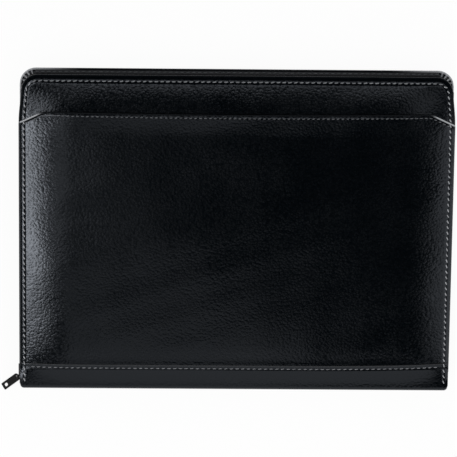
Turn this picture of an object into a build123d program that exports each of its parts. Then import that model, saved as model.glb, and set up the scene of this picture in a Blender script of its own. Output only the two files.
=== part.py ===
from build123d import *
import math
import os

os.makedirs("parts", exist_ok=True)

# A zippered padfolio lying closed on its back cover.
# X runs along the spine, Y from the spine to the fore-edge, Z up.
# The origin is the middle of the back cover's outer face.

# Driving sizes, all in millimetres: the case is made round a letter-size writing pad
pad_length = 298.0
pad_width = 216.0
pad_end_margin = 22.2
pen_gutter = 25.1
closed_height = 26.0
corner_radius = 13.0

# Layers of a cover
leather = 1.0
greyboard = 1.8
lining_cloth = 0.6
hem_width = 4.0
fit_gap = 0.1
fold_gap = 0.3

# Crown of the padded front cover
crown = 2.2
shoulder = 22.0
padding_inset = 8.0

# Spine band and front pocket
band_width = 21.4
band_proud = 0.4
pocket_gap = 0.2
mouth_setback = 30.2
slant_run = 17.5
slant_drop = 9.5
mouth_corner_radius = 8.0

# Zipper tape and teeth
tape_thickness = 0.8
tape_flange = 5.0
tape_end_gap = 1.0
tooth_height = 2.4
tooth_thickness = 2.6
mesh_gap = 0.3
tack_length = 1.2
tack_height = 2.4
tack_cap = 0.5
tack_thickness = 1.3

# Zipper slider
slider_length = 11.0
slider_plate = 1.2
slider_flange = 1.0
slider_shoulder = 0.8
slider_clearance = 0.35
slot_clearance = 0.5
slider_corner = 1.2
post_length = 2.6
post_width = 2.0
post_tip = 0.8
bridge_gap = 2.0
bridge_bar = 0.9
bridge_leg = 1.1
bridge_width = 1.6
bridge_inset = 0.4

# Pull ring and pull
ring_radius = 2.4
ring_wire = 1.1
ring_clearance = 0.35
pull_heading = 44.4
pull_droop = 31.1
pull_twist = 20.0
pull_reach = 18.8
pull_width = 6.0
pull_thickness = 1.4
pull_head = 1.8
pull_eye = 1.1
pull_corner = 0.8
pull_head_corner = 2.3
pull_edge = 0.3
pull_hole_length = 4.4
pull_hole_width = 2.4
pull_hole_margin = 4.0

# Writing pad and its sleeve
pad_card = 0.8
pad_paper = 6.0
pad_margin = 3.5
paper_inset = 0.5
binding_cloth = 0.4
binding_lap = 16.0
sleeve_mouth = 90.0

# Slip pockets and pen loop
pocket_cloth = 0.8
pocket_hem = 3.0
slip_gap = 0.4
organiser_margin = 11.0
document_depth = 176.0
card_depth = 58.0
card_width = 100.0
tier_step = 16.0
pen_bore = 11.0
pen_elastic = 1.1
pen_loop_length = 18.0
pen_loop_from_head = 118.0

# Cover sizes, levels and lines that follow from the sizes above
cover_stack = leather + greyboard + lining_cloth
tape_inset = hem_width + fit_gap
fore_margin = pocket_hem + pad_margin + tape_thickness + tape_inset
cover_length = pad_length + 2 * pad_end_margin
cover_width = cover_stack + pen_gutter + pad_width + fore_margin
half_length = cover_length / 2
spine_y = -cover_width / 2
fore_y = cover_width / 2
fold_radius = cover_stack / 2
plate_y = spine_y + cover_stack + fold_gap
seam_y = spine_y + band_width
inside_z = cover_stack
front_inside_z = closed_height - cover_stack
mid_z = closed_height / 2
pocket_top = closed_height + pocket_gap + leather
band_top = pocket_top + band_proud
fold_dip = band_top - closed_height
mouth_y = fore_y - mouth_setback
wall_inset = tape_inset + tape_thickness / 2
lining_inset = tape_inset + tape_flange + fit_gap
tape_y = spine_y + cover_stack + tape_end_gap
slider_end_y = tape_y + tack_length + ring_clearance
slider_y = slider_end_y + slider_length / 2
teeth_y = slider_end_y + post_length + slider_clearance
tooth_base = mesh_gap / 2 + tooth_height
reach_above = 10.0
overrun = 1.0
least_radius = 1.0


def save(node, shape):
    """Write one named piece to its own file."""
    shape.label = node
    export_step(shape, f"parts/{node}.step")


def cover_face(inset=0.0, near=plate_y):
    """Plan of a cover drawn in by inset: square at the spine, rounded at the fore-edge."""
    far = fore_y - inset
    outline = Pos(0, (near + far) / 2) * Rectangle(2 * (half_length - inset), far - near)
    far_corners = outline.vertices().group_by(Axis.Y)[-1]
    return fillet(far_corners, max(corner_radius - inset, least_radius))


def slab(face, low, high):
    """Plan face raised from one level to another."""
    return extrude(Pos(0, 0, low) * face, high - low)


def edge_strip(outer, inner, near):
    """Plan of a strip along the left, far and right edges, between two insets."""
    return cover_face(outer, near) - cover_face(inner, near)


def crown_profile(start, end, start_z, end_z, top_z):
    """Section under a surface that rises from both ends, through arcs, to a flat middle."""
    flat_start = (start + shoulder, top_z)
    flat_end = (end - shoulder, top_z)
    floor = mid_z
    rise = TangentArc(flat_start, (start, start_z), tangent=(-1, 0))
    flat = Line(flat_start, flat_end)
    fall = TangentArc(flat_end, (end, end_z), tangent=(1, 0))
    sides = Polyline((start, start_z), (start, floor), (end, floor), (end, end_z))
    return make_face(Curve() + [rise, flat, fall, sides])


def below_crown(edge_z):
    """Everything under the crowned surface that leaves the cover's edge at edge_z."""
    ends = half_length + overrun
    top_z = edge_z + crown
    across = crown_profile(-ends, ends, edge_z, edge_z, top_z)
    along = crown_profile(plate_y, fore_y + overrun, edge_z - fold_dip, edge_z, top_z)
    barrel = extrude(Plane.XZ * across, cover_width, both=True)
    other = extrude(Plane.YZ * along, cover_length, both=True)
    return barrel & other


def band_strip(near, far):
    """Plan of the strip across the cover between two lines parallel to the spine."""
    return Pos(0, (near + far) / 2) * Rectangle(cover_length, far - near)


# Back cover

def back_shell(face):
    """Leather turned over the board's edge, with the room for board and lining taken out."""
    board_room = slab(cover_face(leather), leather, leather + greyboard)
    lining_room = slab(cover_face(hem_width), leather + greyboard, cover_stack)
    return slab(face, 0, cover_stack) - board_room - lining_room


def back_cover():
    """Leather, spine band, board and lining of the back cover."""
    save("back_cover_leather", back_shell(cover_face(near=seam_y)))
    save("back_spine_band", back_shell(band_strip(plate_y, seam_y)))
    save("back_board", slab(cover_face(leather + fit_gap), leather, leather + greyboard))
    save("back_lining", slab(cover_face(lining_inset), leather + greyboard, cover_stack))


# Spine

def spine():
    """Leather with a rolled fold along each edge, and the board and lining between the rolls."""
    middle_y = spine_y + fold_radius
    outline = Pos(middle_y, mid_z) * SlotOverall(closed_height, cover_stack, rotation=90)
    roll_to_roll = closed_height - 2 * cover_stack
    board_y = spine_y + leather
    lining_y = board_y + greyboard
    room_y = board_y + (greyboard + lining_cloth) / 2
    room = Pos(room_y, mid_z) * Rectangle(greyboard + lining_cloth, roll_to_roll)
    board_face = Pos(board_y + greyboard / 2, mid_z) * Rectangle(greyboard, roll_to_roll)
    lining_face = Pos(lining_y + lining_cloth / 2, mid_z) * Rectangle(lining_cloth, roll_to_roll)
    save("spine_leather", extrude(Plane.YZ * (outline - room), half_length, both=True))
    save("spine_board", extrude(Plane.YZ * board_face, half_length - leather, both=True))
    save("spine_lining", extrude(Plane.YZ * lining_face, half_length - leather, both=True))


# Front cover

def front_shell(face, edge_z):
    """Crowned leather turned over the board's edge, with the room for board and lining taken out."""
    board_top = closed_height - leather
    board_room = slab(cover_face(leather), board_top - greyboard, board_top)
    lining_room = slab(cover_face(hem_width), front_inside_z, front_inside_z + lining_cloth)
    block = slab(face, front_inside_z, band_top + reach_above) & below_crown(edge_z)
    return block - board_room - lining_room


def front_padding():
    """Foam between the board and the front cover's leather."""
    face = cover_face(padding_inset, seam_y + padding_inset)
    board_top = closed_height - leather
    return slab(face, board_top, band_top + reach_above) & below_crown(board_top)


def front_pocket():
    """Slip pocket panel over the front cover, its mouth cut on the slant at both corners."""
    side_y = mouth_y - slant_drop
    corner_x = half_length - slant_run
    outline = Polyline(
        (-half_length, seam_y + fit_gap),
        (half_length, seam_y + fit_gap),
        (half_length, side_y),
        (corner_x, mouth_y),
        (-corner_x, mouth_y),
        (-half_length, side_y),
        close=True,
    )
    face = make_face(outline)
    mouth_corners = face.vertices().group_by(Axis.Y)[-1]
    face = fillet(mouth_corners, mouth_corner_radius)
    column = slab(face, closed_height, band_top + reach_above)
    return (column & below_crown(pocket_top)) - below_crown(closed_height + pocket_gap)


def front_cover():
    """Leather, padding, pocket, spine band, board and lining of the front cover."""
    padding = front_padding()
    board_top = closed_height - leather
    board_face = cover_face(leather + fit_gap)
    lining_face = cover_face(lining_inset)
    save("front_padding", padding)
    save("front_cover_leather", front_shell(cover_face(near=seam_y), closed_height) - padding)
    save("front_spine_band", front_shell(band_strip(plate_y, seam_y), band_top))
    save("front_pocket", front_pocket())
    save("front_board", slab(board_face, board_top - greyboard, board_top))
    save("front_lining", slab(lining_face, front_inside_z, front_inside_z + lining_cloth))


# Zipper tape and teeth

def tape(flange_low, wall_low, wall_high):
    """Woven tape: a flange sewn to the cover and a wall that stands up to the teeth."""
    wall_face = edge_strip(tape_inset, tape_inset + tape_thickness, tape_y)
    flange_face = edge_strip(tape_inset, tape_inset + tape_flange, tape_y)
    return slab(wall_face, wall_low, wall_high) + slab(flange_face, flange_low, flange_low + lining_cloth)


def teeth(low):
    """One row of zipper teeth along the left, far and right edges."""
    outer = wall_inset - tooth_thickness / 2
    return slab(edge_strip(outer, outer + tooth_thickness, teeth_y), low, low + tooth_height)


def tacks(edge_z, facing):
    """Thread tacks that wrap the free edge of one tape at both of its ends."""
    wall_x = half_length - wall_inset
    middle_y = tape_y + tack_length / 2
    tack = Pos(0, 0, facing * (tack_cap - tack_height / 2)) * Box(tack_thickness, tack_length, tack_height)
    core = Pos(0, 0, -facing * tack_height) * Box(tape_thickness, tack_length, 2 * tack_height)
    return Compound(children=[Pos(side * wall_x, middle_y, edge_z) * (tack - core) for side in (-1, 1)])


def zipper():
    """Both tapes with their teeth and end tacks."""
    back_edge = mid_z - tooth_base
    front_edge = mid_z + tooth_base
    save("zipper_tape_back", tape(inside_z - lining_cloth, inside_z - lining_cloth, back_edge))
    save("zipper_tape_front", tape(front_inside_z, front_edge, front_inside_z + lining_cloth))
    save("zipper_teeth_back", teeth(back_edge))
    save("zipper_teeth_front", teeth(mid_z + mesh_gap / 2))
    save("zipper_tacks_back", tacks(back_edge, 1))
    save("zipper_tacks_front", tacks(front_edge, -1))


# Zipper slider, ring and pull

def slider_frame():
    """Half thickness, half height at the narrow end, and the place of the slider's middle."""
    half_thick = tooth_thickness / 2 + slider_clearance + slider_plate
    half_high = tooth_base + slider_clearance + slider_flange
    return half_thick, half_high, Pos(-(half_length - wall_inset), slider_y, mid_z)


def slider():
    """Two plates joined by a wedge post, flanges with slots for the tape, and a bridge for the ring."""
    half_thick, half_high, place = slider_frame()
    half_long = slider_length / 2
    wide_high = half_high + slider_shoulder
    outline = Polyline(
        (-half_long, -wide_high),
        (half_long, -half_high),
        (half_long, half_high),
        (-half_long, wide_high),
        close=True,
    )
    face = fillet(make_face(outline).vertices(), slider_corner)
    block = extrude(Plane.YZ * face, half_thick, both=True)
    channel_half = half_thick - slider_plate
    channel = Box(2 * channel_half, 2 * slider_length, 2 * (half_high - slider_flange))
    slot = Box(tape_thickness + 2 * slot_clearance, 2 * slider_length, 4 * half_high)
    wedge = make_face(Polyline(
        (-half_long, -post_width / 2),
        (post_length - half_long, -post_tip / 2),
        (post_length - half_long, post_tip / 2),
        (-half_long, post_width / 2),
        close=True,
    ))
    post = extrude(Plane.YZ * wedge, channel_half, both=True)
    bridge_length = slider_length - 2 * bridge_inset
    bridge_out = bridge_gap + bridge_bar
    bridge = Pos(-half_thick - bridge_out / 2) * Box(bridge_out, bridge_length, bridge_width)
    eyelet_length = bridge_length - 2 * bridge_leg
    eyelet = Pos(-half_thick - bridge_gap / 2) * Box(bridge_gap, eyelet_length, 2 * bridge_width)
    return place * (block - channel - slot + post + (bridge - eyelet))


def pull_frame():
    """Pivot under the bridge, ring centre, and the directions of ring and pull."""
    half_thick = slider_frame()[0]
    pivot_x = -(half_length - wall_inset) - half_thick - bridge_gap / 2
    pivot_y = slider_end_y + bridge_inset + bridge_leg + ring_wire / 2 + ring_clearance
    pivot = Vector(pivot_x, pivot_y, mid_z)
    heading = math.radians(pull_heading)
    droop = math.radians(pull_droop)
    out = Vector(-math.cos(heading), -math.sin(heading), 0)
    up = Vector(0, 0, 1)
    along = out * math.cos(droop) - up * math.sin(droop)
    normal = out * math.sin(droop) + up * math.cos(droop)
    side = out.cross(up)
    return pivot + out * ring_radius, side, out, along, normal


def ring():
    """Wire ring through the slider's bridge, standing upright along the pull's heading."""
    centre, side, out, along, normal = pull_frame()
    return Plane(origin=centre, x_dir=out, z_dir=side) * Torus(ring_radius, ring_wire / 2)


def pull():
    """Flat bar that hangs from the ring with a twist, with an eye at one end and an oblong hole at the other."""
    centre, side, out, along, normal = pull_frame()
    bar = Pos((pull_reach - pull_head) / 2) * Rectangle(pull_reach + pull_head, pull_width)
    bar = fillet(bar.vertices().group_by(Axis.X)[0], pull_head_corner)
    bar = fillet(bar.vertices().group_by(Axis.X)[-1], pull_corner)
    hole = Pos(pull_reach - pull_hole_margin) * SlotOverall(pull_hole_length, pull_hole_width)
    tab = extrude(bar - Circle(pull_eye) - hole, pull_thickness / 2, both=True)
    rims = tab.edges().group_by(Axis.Z)
    on_ring = Plane(origin=centre + along * ring_radius, x_dir=along, z_dir=normal)
    return on_ring.location * Rot(X=pull_twist) * fillet(rims[0] + rims[-1], pull_edge)


# Slip pockets, pad and pen loop

def slip_pocket(mouth_x, bottom_x, low_y, high_y, seat_z, gap, cloth, facing):
    """Flat pocket on a lining: a panel with a hem round three sides and its mouth at mouth_x."""
    middle_y = (low_y + high_y) / 2
    length = bottom_x - mouth_x
    width = high_y - low_y
    panel_z = seat_z + facing * (gap + cloth)
    low, high = sorted((seat_z, panel_z))
    block = slab(Pos((mouth_x + bottom_x) / 2, middle_y) * Rectangle(length, width), low, high)
    room_low, room_high = sorted((seat_z, seat_z + facing * gap))
    room_x = (mouth_x + bottom_x) / 2 - pocket_hem
    room_face = Pos(room_x, middle_y) * Rectangle(length, width - 2 * pocket_hem)
    return block - slab(room_face, room_low, room_high)


pad_low_y = spine_y + cover_stack + pen_gutter
pad_high_y = pad_low_y + pad_width
pad_half = pad_length / 2
sleeve_gap = pad_card + 2 * fit_gap
sleeve_top = inside_z + sleeve_gap + pocket_cloth
paper_low = sleeve_top + fit_gap
paper_high = paper_low + pad_paper
sleeve_low_y = pad_low_y - fit_gap - pocket_hem


def pad_rectangle(inset, low, high):
    """Pad-sized block drawn in by inset."""
    outline = Rectangle(pad_length - 2 * inset, pad_width - 2 * inset)
    return slab(Pos(0, (pad_low_y + pad_high_y) / 2) * outline, low, high)


def pad_binding():
    """Cloth binding over the pad's head, from the card backing up and over the first sheet."""
    head_x = -pad_half
    middle_y = (pad_low_y + pad_high_y) / 2
    top = paper_high + binding_cloth
    lap_length = binding_lap + binding_cloth
    end_face = Pos(head_x - binding_cloth / 2, middle_y) * Rectangle(binding_cloth, pad_width)
    lap_face = Pos(head_x - binding_cloth + lap_length / 2, middle_y) * Rectangle(lap_length, pad_width)
    card_top = inside_z + fit_gap + pad_card
    foot = slab(lap_face, card_top, paper_low)
    back = slab(end_face, inside_z, top)
    lap = slab(lap_face, paper_high, top)
    return foot + back + lap


def pad():
    """Card backing, paper and head binding of the writing pad, and the sleeve that holds it."""
    card_low = inside_z + fit_gap
    mouth_x = sleeve_mouth - pad_half
    bottom_x = pad_half + fit_gap + pocket_hem
    high_y = pad_high_y + fit_gap + pocket_hem
    save("pad_backing", pad_rectangle(0, card_low, card_low + pad_card))
    save("pad_paper", pad_rectangle(paper_inset, paper_low, paper_high))
    save("pad_binding", pad_binding())
    save("pad_sleeve", slip_pocket(
        mouth_x, bottom_x, sleeve_low_y, high_y, inside_z, sleeve_gap, pocket_cloth, 1))


def pen_loop():
    """Elastic loop standing on the lining between the spine and the pad."""
    outer = pen_bore / 2 + pen_elastic
    middle_y = (spine_y + cover_stack + sleeve_low_y) / 2
    tube = Circle(outer) - Circle(pen_bore / 2)
    foot = Pos(0, pen_elastic / 2 - outer) * Rectangle(outer, pen_elastic)
    foot = foot - Circle(pen_bore / 2)
    left_x = pen_loop_from_head - half_length
    start = Plane(origin=(left_x, middle_y, inside_z + outer), x_dir=(0, 1, 0), z_dir=(1, 0, 0))
    return extrude(start * (tube + foot), pen_loop_length)


def organiser():
    """Pockets sewn to the front cover's lining, all with their mouths towards the pad's head."""
    head_x = organiser_margin + tape_flange - half_length
    foot_x = half_length - organiser_margin - tape_flange
    low_y = plate_y + organiser_margin
    high_y = fore_y - organiser_margin - tape_flange
    tier = slip_gap + pocket_cloth
    card_foot = head_x + 2 * tier_step + card_depth
    for step, name in enumerate(("card_pocket_back", "card_pocket_middle", "card_pocket_front")):
        seat = front_inside_z - step * tier
        mouth_x = head_x + step * tier_step
        save(name, slip_pocket(
            mouth_x, card_foot, low_y, low_y + card_width, seat, slip_gap, pocket_cloth, -1))
    accessory_low = low_y + card_width + organiser_margin
    save("accessory_pocket", slip_pocket(
        head_x, card_foot, accessory_low, high_y, front_inside_z, slip_gap, pocket_cloth, -1))
    save("document_pocket", slip_pocket(
        foot_x - document_depth, foot_x, low_y, high_y, front_inside_z, slip_gap, pocket_cloth, -1))


back_cover()
spine()
front_cover()
zipper()
save("zipper_slider", slider())
save("zipper_ring", ring())
save("zipper_pull", pull())
pad()
save("pen_loop", pen_loop())
organiser()
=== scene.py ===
# %% [markdown]
# # A zippered padfolio in black grained leather
# The real object is a sewn case: two boards covered with leather, a spine band that folds over
# one long edge, a zipper round the other three, and a writing pad inside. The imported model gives
# the frame and the bodies that move. This lesson dresses that frame with leather, cloth, paper
# and thread, each as its own surface.

# %% Load the frame
import math

import bpy
import numpy as np
from mathutils import Matrix, Vector


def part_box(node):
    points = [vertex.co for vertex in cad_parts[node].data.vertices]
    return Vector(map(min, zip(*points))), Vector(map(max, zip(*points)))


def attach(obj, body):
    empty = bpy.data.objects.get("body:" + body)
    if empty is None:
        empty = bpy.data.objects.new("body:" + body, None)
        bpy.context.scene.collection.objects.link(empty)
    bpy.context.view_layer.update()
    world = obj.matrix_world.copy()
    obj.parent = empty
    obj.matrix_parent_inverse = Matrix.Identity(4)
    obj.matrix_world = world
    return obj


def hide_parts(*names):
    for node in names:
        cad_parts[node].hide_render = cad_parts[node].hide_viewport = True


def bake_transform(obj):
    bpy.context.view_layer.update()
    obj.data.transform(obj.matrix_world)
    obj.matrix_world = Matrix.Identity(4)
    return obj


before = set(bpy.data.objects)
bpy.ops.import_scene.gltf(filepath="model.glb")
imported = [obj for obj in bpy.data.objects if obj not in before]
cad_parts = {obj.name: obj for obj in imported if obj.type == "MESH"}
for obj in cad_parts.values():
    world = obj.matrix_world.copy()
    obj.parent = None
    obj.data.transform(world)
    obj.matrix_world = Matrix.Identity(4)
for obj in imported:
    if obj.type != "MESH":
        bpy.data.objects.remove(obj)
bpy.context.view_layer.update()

# %% [markdown]
# ## Sizes
# Every length below is in millimetres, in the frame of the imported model: X runs along the spine,
# Y from the spine to the fore-edge, and Z up through the front cover. One factor turns
# millimetres into Blender's metres when a mesh is made.

# %% Sizes of the case
mm = 0.001
half_length = 171.2
spine_y = -127.95
fore_y = 127.95
front_setback = 0.9
fore_hem = 0.8
side_setback = 2.2
corner_radius = 13.0
cover_start_y = -124.25
cover_inner_back_z = 3.4
cover_inner_front_z = 22.6
cover_top_z = 26.0
middle_z = 13.0
edge_roll = 1.1
stitch_inset = 4.0
band_seam_y = -106.9
print("cover", 2 * half_length, "by", fore_y - spine_y, "by", cover_top_z, "mm")

# %% [markdown]
# ## From arrays to a piece
# A piece is a list of points and a list of faces. NumPy works both out as whole arrays, and one
# function hands them to Blender, so each object sits at the origin with its place in its mesh.

# %% A piece from points and faces
def grid_points(x, y, z):
    """Points from three coordinates, each a number or an array, spread to one common shape."""
    return np.stack(np.broadcast_arrays(x, y, z), axis=-1)


def smooth_step(value):
    """0 below 0, 1 above 1, and between them the even curve 3 t^2 - 2 t^3."""
    t = np.clip(value, 0, 1)
    return t * t * (3 - 2 * t)


def add_piece(name, points, faces, finish, flat=None, sharp_angle=50, rim_finish=None):
    """New mesh object from points in millimetres.

    flat gives each point's place on the uncut sheet, how much lighter grey is painted on it, from 0
    to 1, and 1 if it lies on the turned rim. Faces whose points all lie there take the rim's finish.
    The grey is partly wear and partly a painted highlight on leather, and painted light on the tape.
    """
    mesh = bpy.data.meshes.new(name)
    mesh.from_pydata((points * mm).tolist(), [], [list(face) for face in faces])
    if flat is not None:
        corner_points = np.zeros(len(mesh.loops), dtype=np.int32)
        mesh.loops.foreach_get("vertex_index", corner_points)
        layer = mesh.uv_layers.new(name="flat_cut")
        layer.data.foreach_set("uv", (flat[corner_points, :2] * mm).astype(np.float32).ravel())
        share = mesh.attributes.new(name="wear_and_painted_light", type="FLOAT", domain="POINT")
        share.data.foreach_set("value", flat[:, 2].astype(np.float32))
    mesh.shade_smooth()
    mesh.set_sharp_from_angle(angle=math.radians(sharp_angle))
    mesh.materials.append(finish)
    if rim_finish:
        mesh.materials.append(rim_finish)
        mesh.polygons.foreach_set("material_index", flat[faces, 3].min(axis=1).astype(np.int32))
    piece = bpy.data.objects.new(name, mesh)
    bpy.context.scene.collection.objects.link(piece)
    print(f"{name}: {len(mesh.vertices)} points, {len(mesh.polygons)} faces")
    return piece


# %% [markdown]
# ## A sheet with two sides
# A sheet of leather or cloth has two sides and a rounded edge. A Solidify modifier could give it
# its thickness, but with a square edge. So one function closes any two grids of points into a
# sheet with a round rim. It also works out where each point lies on the flat cut, for the grain
# and the weave, and how much lighter grey each edge is painted, for wear and painted highlight.

# %% A sheet closed round its border
border_wear_and_highlight = 0.6


def flat_places(grid):
    """Place of each grid point on the flat cut: its distance along its row and along its column."""
    along_row = np.linalg.norm(np.diff(grid, axis=1), axis=2).cumsum(axis=1)
    along_column = np.linalg.norm(np.diff(grid, axis=0), axis=2).cumsum(axis=0)
    u = np.concatenate([np.zeros((grid.shape[0], 1)), along_row], axis=1)
    v = np.concatenate([np.zeros((1, grid.shape[1])), along_column], axis=0)
    return np.stack([u + grid[:, :1, 0], v], axis=-1).reshape(-1, 2)


def closed_sheet(outer, inner, rolls, rings=6, wear_and_highlight=(0, 0, 0, 0)):
    """Points, faces, and flat places with edge shares of a sheet closed round its border.

    outer and inner are grids of points of the same shape, and outer is seen with its rows going up
    and its columns going right. The border of both is joined by a half ellipse: a point is the
    middle, plus half the thickness times sin(a), plus outward times roll times cos(a), for a from
    90 to -90 degrees. Outward lies in the sheet, square to its border. rolls is how far the edge
    stands out at the first row, the last row, the first column and the last column, and the last
    argument is how much lighter grey each of these four edges is painted, partly for wear and partly
    as a painted highlight.
    """
    rows, columns = outer.shape[:2]
    count = rows * columns
    index = np.arange(count).reshape(rows, columns)
    loop = np.concatenate([index[:, 0], index[-1, 1:], index[-2::-1, -1], index[0, -2:0:-1]])
    side = np.repeat([2, 1, 3, 0], [rows, columns - 1, rows - 1, columns - 2])
    roll = np.array(rolls)[side][:, None]
    edge_wear_and_highlight = np.array(wear_and_highlight)[side]
    upper = outer.reshape(-1, 3)
    lower = inner.reshape(-1, 3)
    middle = (upper[loop] + lower[loop]) / 2
    half_thick = (upper[loop] - lower[loop]) / 2
    along = np.roll(middle, -1, axis=0) - np.roll(middle, 1, axis=0)
    outward = np.cross(half_thick, along)
    outward /= np.linalg.norm(outward, axis=1, keepdims=True)
    angles = np.radians(np.linspace(90, -90, rings + 1)[1:-1])[:, None, None]
    rim = middle + half_thick * np.sin(angles) + outward * roll * np.cos(angles)
    points = np.concatenate([upper, lower, rim.reshape(-1, 3)])
    rim_index = 2 * count + np.arange((rings - 1) * len(loop)).reshape(rings - 1, len(loop))
    ladder = np.concatenate([loop[None], rim_index, loop[None] + count])
    corners = [index[:-1, :-1], index[:-1, 1:], index[1:, 1:], index[1:, :-1]]
    top = np.stack(corners, axis=-1).reshape(-1, 4)
    step = np.roll(ladder, -1, axis=1)
    edge = np.stack([ladder[:-1], step[:-1], step[1:], ladder[1:]], axis=-1).reshape(-1, 4)
    faces = np.concatenate([top, top[:, ::-1] + count, edge])
    flat_grid = flat_places(outer)
    flat_loop = flat_grid[loop]
    turn = np.roll(flat_loop, -1, axis=0) - np.roll(flat_loop, 1, axis=0)
    away = np.stack([-turn[:, 1], turn[:, 0]], axis=1)
    away /= np.linalg.norm(away, axis=1, keepdims=True) + 1e-9
    half_round = np.linalg.norm(half_thick, axis=1).mean() * np.pi
    reach = np.arange(1, rings)[:, None, None] / rings * half_round
    flat_rim = flat_loop + away * reach
    # Lighter grey share of each point, painted at the border: partly wear, partly a painted highlight.
    wear_and_painted_light = np.concatenate([np.zeros(2 * count), np.tile(edge_wear_and_highlight, rings - 1)])
    wear_and_painted_light[loop] = border_wear_and_highlight * edge_wear_and_highlight
    turned = (roll[:, 0] > 0).astype(float)
    turned_rim = np.concatenate([np.zeros(2 * count), np.tile(turned, rings - 1)])
    turned_rim[loop] = turned
    turned_rim[loop + count] = turned
    flat = np.concatenate([flat_grid, flat_grid, flat_rim.reshape(-1, 2)])
    return points, faces, np.column_stack([flat, wear_and_painted_light, turned_rim])


# %% [markdown]
# ## Finishes
# Each finish starts from what the real material is. Colours are written as sRGB hex values, as a
# colour picker shows them, and one function turns them into the linear values that the shader
# needs. A second small function adds any node with its settings and links.

# %% Colour and node helpers
def linear(hex_colour):
    """Linear colour of an sRGB hex value: a straight part near black, then a power of 2.4."""
    channels = np.array([int(hex_colour[place:place + 2], 16) for place in (1, 3, 5)]) / 255
    curve = np.where(channels <= 0.04045, channels / 12.92, ((channels + 0.055) / 1.055) ** 2.4)
    return (*curve.tolist(), 1.0)


def add_node(tree, kind, inputs=(), **settings):
    """Adds a node; inputs gives its sockets, by name or in order, a value or an output to link."""
    node = tree.nodes.new(kind)
    for key, value in settings.items():
        setattr(node, key, value)
    by_socket = inputs if isinstance(inputs, dict) else dict(enumerate(inputs))
    for key, value in by_socket.items():
        if isinstance(value, bpy.types.NodeSocket):
            tree.links.new(value, node.inputs[key])
        else:
            node.inputs[key].default_value = value
    return node


def new_finish(name, colour, roughness, **sockets):
    """Material with a Principled shader: the tree, the shader and the material."""
    finish = bpy.data.materials.new(name)
    finish.use_nodes = True
    shader = finish.node_tree.nodes["Principled BSDF"]
    shader.inputs["Base Color"].default_value = linear(colour)
    shader.inputs["Roughness"].default_value = roughness
    for key, value in sockets.items():
        shader.inputs[key.replace("_", " ")].default_value = value
    return finish.node_tree, shader, finish


def per_metre(size_mm):
    """Texture scale that makes one cell or wave of this size in millimetres."""
    return 1 / (size_mm * mm)


# %% [markdown]
# ### Leather
# The cover is bonded leather, dyed black and embossed with a fine pebble grain under a satin
# coat. The eye gets four things from it: small domes, a little duller than the creases between
# them, which break up every highlight, a slow change of gloss from handling, a cool, slightly
# blue sheen, and edges painted a lighter grey, partly wear and partly a painted highlight. Noise
# alone would give lumps without creases, so Voronoi cells make the domes, stretched a little along
# the case as the emboss roller leaves them. Turned rims have a duller finish of their own.

# %% Leather finishes
cool_sheen = (0.84, 0.90, 1.0, 1.0)
roller_stretch = (0.9, 1.0, 1.0)
bend_grains = 3
bend_reach = 0.5
pore_grains = 0.6
pore_share = 0.4
dome_dullness = 0.13
middle_relief = 0.55
handling_mm = 35.0
handling_change = 0.03
least_edge_grey = 0.35
wear_and_highlight_grey = "#C4C6CA"


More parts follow.
